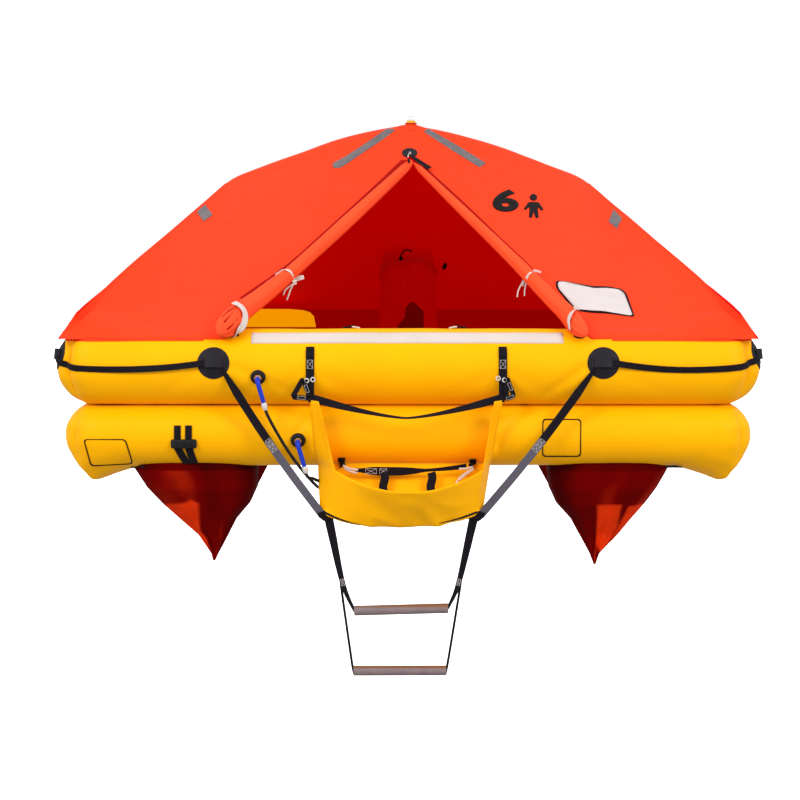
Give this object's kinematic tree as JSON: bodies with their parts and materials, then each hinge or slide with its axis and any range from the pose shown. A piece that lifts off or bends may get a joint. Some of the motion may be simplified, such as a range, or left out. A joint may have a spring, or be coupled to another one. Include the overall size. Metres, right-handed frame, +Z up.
{
  "type": "life raft",
  "caption": "Square inflatable life raft on stacked buoyancy tubes, with a peaked fabric canopy over an arch tube, a triangular entrance, a boarding pouch and a folding rung ladder.",
  "frame": {"origin": "centre of the raft in plan, on the waterline, 60 mm above the underside of the lower tube", "axes": "+Z up, -Y towards the entrance and its boarding ladder, +X to the right of someone who faces the entrance"},
  "size_m": [2.2234, 2.3718, 1.7844],
  "materials": {
    "tube_fabric": "coated, satin",
    "canopy_fabric": "coated, satin",
    "pocket_fabric": "coated, satin",
    "webbing": "woven, matte",
    "moulded_rubber": "matte",
    "hose_rubber": "matte",
    "elbow_plastic": "satin",
    "valve_brass": "machined",
    "rung_tube": "satin",
    "cylinder_paint": "satin",
    "lamp_lens": "clear moulding"
  },
  "bodies": {
    "raft": {"arch_tube": "canopy_fabric", "ballast_pocket_front_left": "pocket_fabric", "ballast_pocket_front_right": "pocket_fabric", "ballast_pocket_rear_left": "pocket_fabric", "ballast_pocket_rear_right": "pocket_fabric", "boarding_pouch": "tube_fabric", "bridle_left": "webbing", "bridle_right": "webbing", "canopy": "canopy_fabric", "canopy_lamp": "lamp_lens", "door_roll_left": "canopy_fabric", "door_roll_right": "canopy_fabric", "floor": "tube_fabric", "gas_cylinder": "cylinder_paint", "hose_elbow_lower": "elbow_plastic", "hose_elbow_upper": "elbow_plastic", "hose_lower": "hose_rubber", "hose_upper": "hose_rubber", "lifeline_front_left": "webbing", "lifeline_front_right": "webbing", "lifeline_left_aft": "webbing", "lifeline_left_fore": "webbing", "lifeline_left_mid": "webbing", "lifeline_rear_left": "webbing", "lifeline_rear_mid": "webbing", "lifeline_rear_right": "webbing", "lifeline_right_aft": "webbing", "lifeline_right_fore": "webbing", "lifeline_right_mid": "webbing", "painter_buckle": "webbing", "patch_corner_front_left": "moulded_rubber", "patch_corner_front_right": "moulded_rubber", "patch_corner_rear_left": "moulded_rubber", "patch_corner_rear_right": "moulded_rubber", "patch_front_left": "moulded_rubber", "patch_front_right": "moulded_rubber", "patch_left_aft": "moulded_rubber", "patch_left_fore": "moulded_rubber", "patch_rear_left": "moulded_rubber", "patch_rear_right": "moulded_rubber", "patch_right_aft": "moulded_rubber", "patch_right_fore": "moulded_rubber", "pouch_back_strap": "webbing", "pouch_grab_strap": "webbing", "pouch_tab_left": "webbing", "pouch_tab_right": "webbing", "rear_sleeve": "pocket_fabric", "tube_lower": "tube_fabric", "tube_upper": "tube_fabric", "valve_lower": "valve_brass", "valve_upper": "valve_brass"},
    "ladder_upper": {"ladder_rung_upper": "rung_tube", "ladder_strap_left": "webbing", "ladder_strap_right": "webbing"},
    "ladder_lower": {"ladder_rung_lower": "rung_tube", "ladder_tail_left": "webbing", "ladder_tail_right": "webbing"}
  },
  "joints": [
    {"name": "ladder_swing", "type": "hinge", "parent": "raft", "child": "ladder_upper", "pos_m": [0, -1.12, -0.2118], "axis": [-1, 0, 0], "range_deg": [-45, 70]},
    {"name": "ladder_fold", "type": "hinge", "parent": "ladder_upper", "child": "ladder_lower", "pos_m": [0, -1.12, -0.412], "axis": [-1, 0, 0], "range_deg": [-80, 80]}
  ]
}
